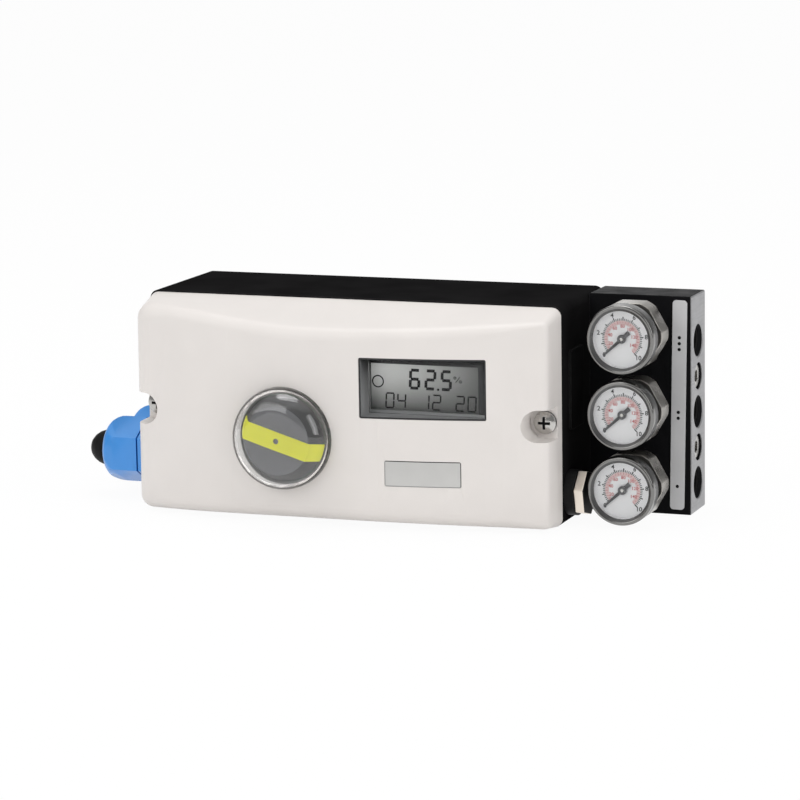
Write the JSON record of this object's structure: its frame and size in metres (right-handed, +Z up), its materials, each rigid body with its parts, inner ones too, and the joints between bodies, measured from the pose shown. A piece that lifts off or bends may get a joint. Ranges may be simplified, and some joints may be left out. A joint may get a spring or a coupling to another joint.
{
  "type": "valve positioner",
  "caption": "Electro-pneumatic valve positioner: cast housing, convex cover with dome indicator and display, cable glands and a gauge block with air ports.",
  "frame": {"origin": "where the feedback shaft's axis meets the housing's back face", "axes": "+X along the housing towards the gauge block, +Y out of the back along the feedback shaft, +Z up"},
  "size_m": [0.276, 0.1234, 0.0976],
  "materials": {
    "black_casting": "satin black coated casting",
    "cover_white": "warm off-white satin coat",
    "black_rubber": "matt rubber",
    "steel": "bright steel",
    "clear_dome": "clear polycarbonate",
    "clear_glass": "clear glass",
    "indicator_grey": "matt grey plastic",
    "indicator_yellow": "bright yellow plastic",
    "bronze": "sintered bronze",
    "gear_plastic": "natural acetal",
    "sensor_blue": "moulded sensor body",
    "board_green": "circuit board",
    "display_grey": "liquid crystal display",
    "bezel_grey": "dark grey plastic",
    "plate_silver": "brushed plate",
    "button_grey": "dark plastic",
    "terminal_green": "moulded terminal body",
    "module_grey": "moulded module",
    "machined_aluminium": "machined",
    "black_anodised": "black anodised",
    "chrome": "chrome plated",
    "dial_white": "white enamel",
    "pointer_dark": "dark enamel",
    "gland_blue": "blue polyamide",
    "plug_black": "black plastic",
    "nickel": "nickel plated brass"
  },
  "bodies": {
    "case": {"housing": "black_casting", "cover": "cover_white", "cover_gasket": "black_rubber", "cover_screws": "steel", "window_dome": "clear_dome", "window_seal": "black_rubber", "shaft_bushes": "bronze", "sensor_body": "sensor_blue", "circuit_board": "board_green", "board_screws": "steel", "lcd_module": "display_grey", "lcd_bezel": "bezel_grey", "lcd_glass": "clear_glass", "name_plate": "plate_silver", "switch_bases": "button_grey", "terminal_block": "terminal_green", "ip_module": "module_grey", "valve_block": "machined_aluminium", "spool_plug": "steel", "gauge_block": "black_anodised", "block_seals": "black_rubber", "block_screws": "steel", "label_strip": "plate_silver", "gauge_sockets": "chrome", "gauge_cases": "bezel_grey", "gauge_bezels": "chrome", "gauge_dials": "dial_white", "gauge_glasses": "clear_glass", "bourdon_tubes": "bronze", "gland_bodies": "gland_blue", "gland_nuts": "gland_blue", "gland_seals": "black_rubber", "dust_plugs": "plug_black", "vent_plug": "nickel", "vent_collar": "plug_black"},
    "indicator": {"feedback_shaft": "steel", "shaft_clip": "steel", "shaft_gear": "gear_plastic", "indicator_cap": "indicator_grey", "indicator_stripe": "indicator_yellow"},
    "sensor": {"sensor_spindle": "steel", "sensor_pinion": "gear_plastic"},
    "pointer_1": {"gauge_pointer_1": "pointer_dark"},
    "pointer_2": {"gauge_pointer_2": "pointer_dark"},
    "pointer_3": {"gauge_pointer_3": "pointer_dark"},
    "button_1": {"button_1": "button_grey"},
    "button_2": {"button_2": "button_grey"},
    "button_3": {"button_3": "button_grey"},
    "button_4": {"button_4": "button_grey"},
    "spool": {"valve_spool": "steel"}
  },
  "joints": [
    {"name": "shaft_turn", "type": "hinge", "parent": "case", "child": "indicator", "pos_m": [0, 0, 0], "axis": [0, 1, 0], "range_deg": [-77, 43]},
    {"name": "sensor_turn", "type": "hinge", "parent": "case", "child": "sensor", "pos_m": [0, 0, 0.0301], "axis": [0, 1, 0], "range_deg": [-88, 156]},
    {"name": "pointer_turn_1", "type": "hinge", "parent": "case", "child": "pointer_1", "pos_m": [0.1417, -0.0558, -0.0224], "axis": [0, 1, 0], "range_deg": [0, 270], "stiffness_Nm_per_rad": 0.0004},
    {"name": "pointer_turn_2", "type": "hinge", "parent": "case", "child": "pointer_2", "pos_m": [0.1417, -0.0558, 0.0105], "axis": [0, 1, 0], "range_deg": [0, 270], "stiffness_Nm_per_rad": 0.0004},
    {"name": "pointer_turn_3", "type": "hinge", "parent": "case", "child": "pointer_3", "pos_m": [0.1417, -0.0558, 0.0434], "axis": [0, 1, 0], "range_deg": [0, 270], "stiffness_Nm_per_rad": 0.0004},
    {"name": "button_push_1", "type": "slide", "parent": "case", "child": "button_1", "axis": [0, 1, 0], "range_m": [0, 0.0008], "stiffness_N_per_m": 1500},
    {"name": "button_push_2", "type": "slide", "parent": "case", "child": "button_2", "axis": [0, 1, 0], "range_m": [0, 0.0008], "stiffness_N_per_m": 1500},
    {"name": "button_push_3", "type": "slide", "parent": "case", "child": "button_3", "axis": [0, 1, 0], "range_m": [0, 0.0008], "stiffness_N_per_m": 1500},
    {"name": "button_push_4", "type": "slide", "parent": "case", "child": "button_4", "axis": [0, 1, 0], "range_m": [0, 0.0008], "stiffness_N_per_m": 1500},
    {"name": "spool_slide", "type": "slide", "parent": "case", "child": "spool", "axis": [0, 0, 1], "range_m": [-0.0015, 0.0015], "stiffness_N_per_m": 3000}
  ],
  "couplings": [
    {"joint": "sensor_turn", "follows": "shaft_turn", "ratio": -2}
  ]
}
